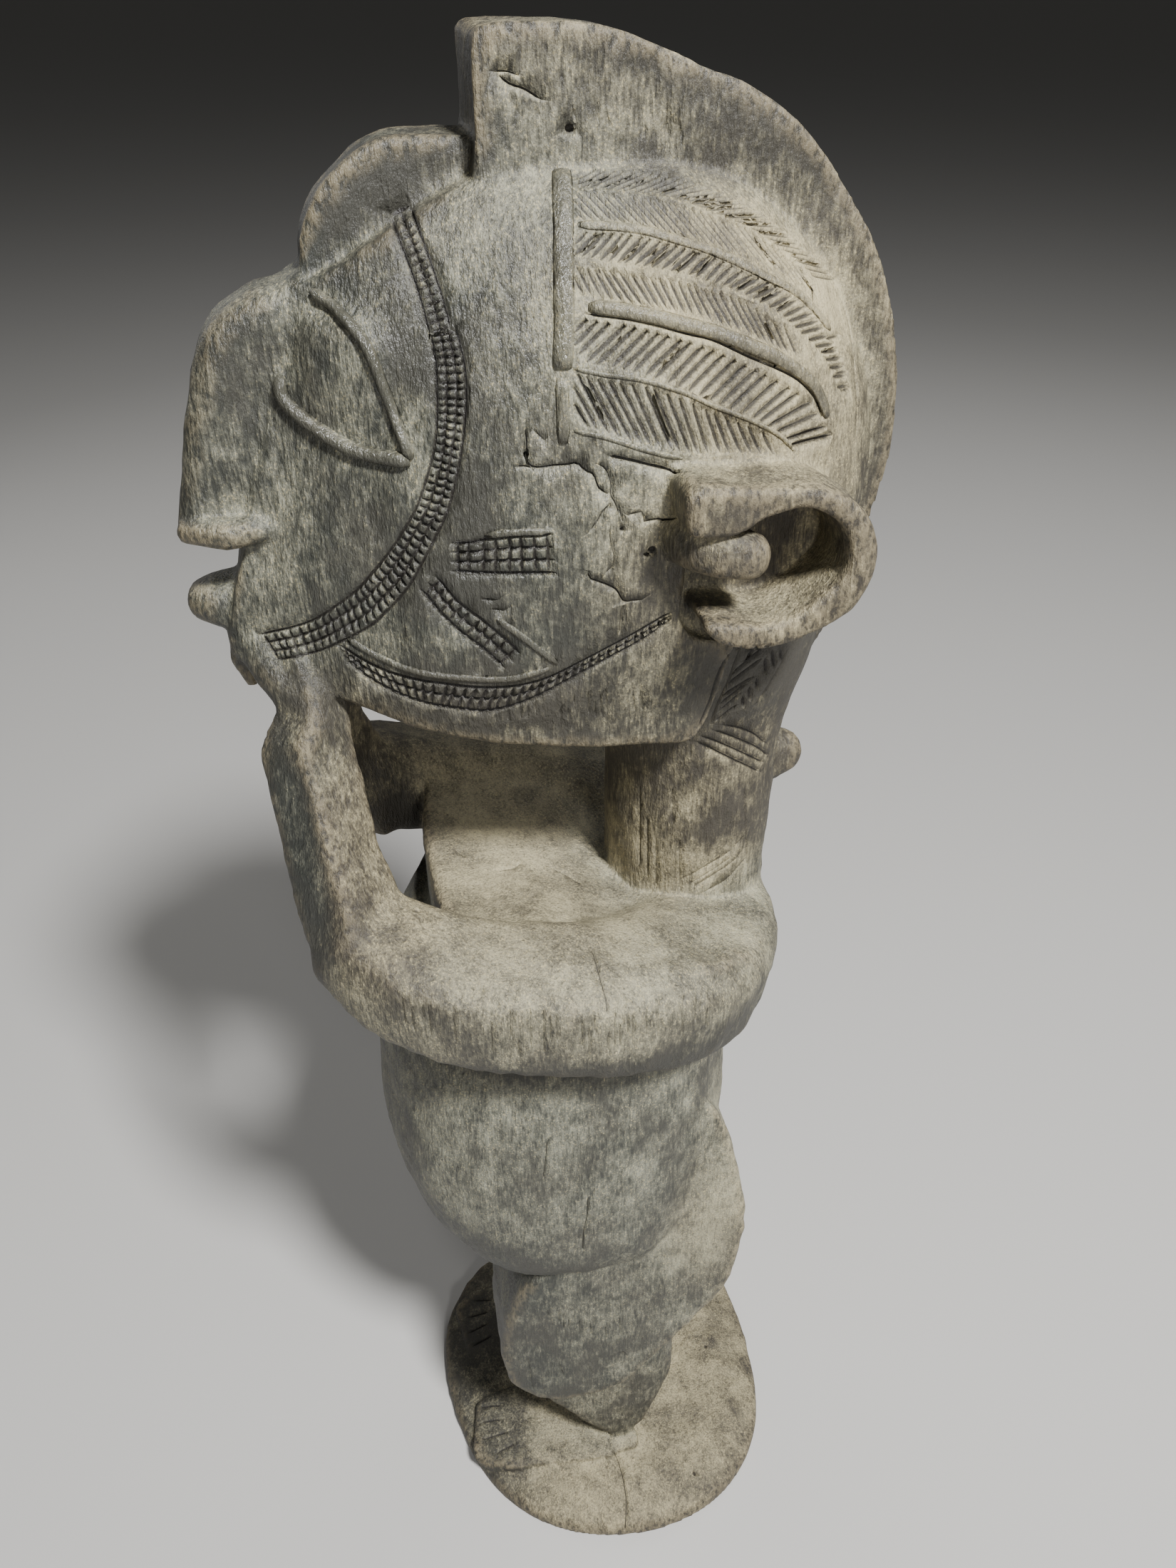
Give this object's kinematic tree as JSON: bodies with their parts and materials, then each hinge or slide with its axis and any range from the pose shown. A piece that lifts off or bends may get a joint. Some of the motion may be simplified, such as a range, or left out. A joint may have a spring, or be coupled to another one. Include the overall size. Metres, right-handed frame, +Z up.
{
  "type": "nimba statue",
  "caption": "Standing carved wooden figure with a great crested head, hands at the chin, full belly and bent legs on a round plinth.",
  "frame": {"origin": "middle of the plinth's flat underside", "axes": "+Z up the figure, -Y the way the figure faces, +X the figure's left"},
  "size_m": [0.2774, 0.3311, 0.9801],
  "materials": {
    "carved_wood": "aged dark hardwood, hand-rubbed on the face, dusty in the cuts"
  },
  "bodies": {
    "root": {"nimba_figure": "carved_wood"}
  },
  "joints": []
}
